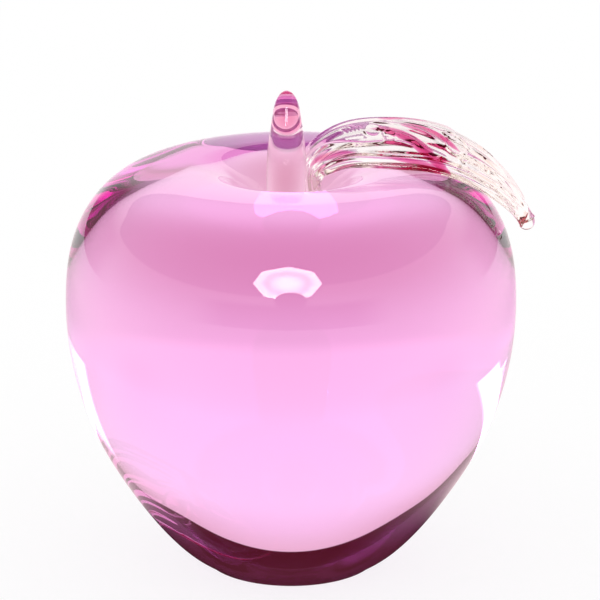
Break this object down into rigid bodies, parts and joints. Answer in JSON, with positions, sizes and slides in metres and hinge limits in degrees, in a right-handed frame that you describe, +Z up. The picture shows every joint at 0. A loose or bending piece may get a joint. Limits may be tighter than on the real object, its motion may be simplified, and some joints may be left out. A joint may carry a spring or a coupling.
{
  "type": "glass apple paperweight",
  "caption": "Solid pink glass apple with a dimpled top, a tapered stem, a ribbed clear leaf with pink streaks and a flat polished base.",
  "frame": {"origin": "centre of the flat polished base, on the surface that the apple stands on", "axes": "+Z up along the body's axis, +X towards the shoulder that the leaf hangs over, -Y towards the viewer"},
  "size_m": [0.0833, 0.08, 0.0864],
  "materials": {
    "pink_glass": "solid tinted crystal glass, fire polished, base ground and polished",
    "clear_glass": "clear crystal glass, fire polished, pressed ribs on the leaf",
    "stem_colour": "pink colour rod cased in clear glass",
    "streak_colour": "strong pink colour threads cased in clear glass"
  },
  "bodies": {
    "root": {"apple_body": "pink_glass", "stem_casing": "clear_glass", "stem_core": "stem_colour", "leaf_blade": "clear_glass", "leaf_stalk": "clear_glass", "leaf_streak_main": "streak_colour", "leaf_streak_upper": "streak_colour", "leaf_streak_near": "streak_colour", "leaf_streak_far": "streak_colour", "leaf_streak_root": "streak_colour"}
  },
  "joints": []
}
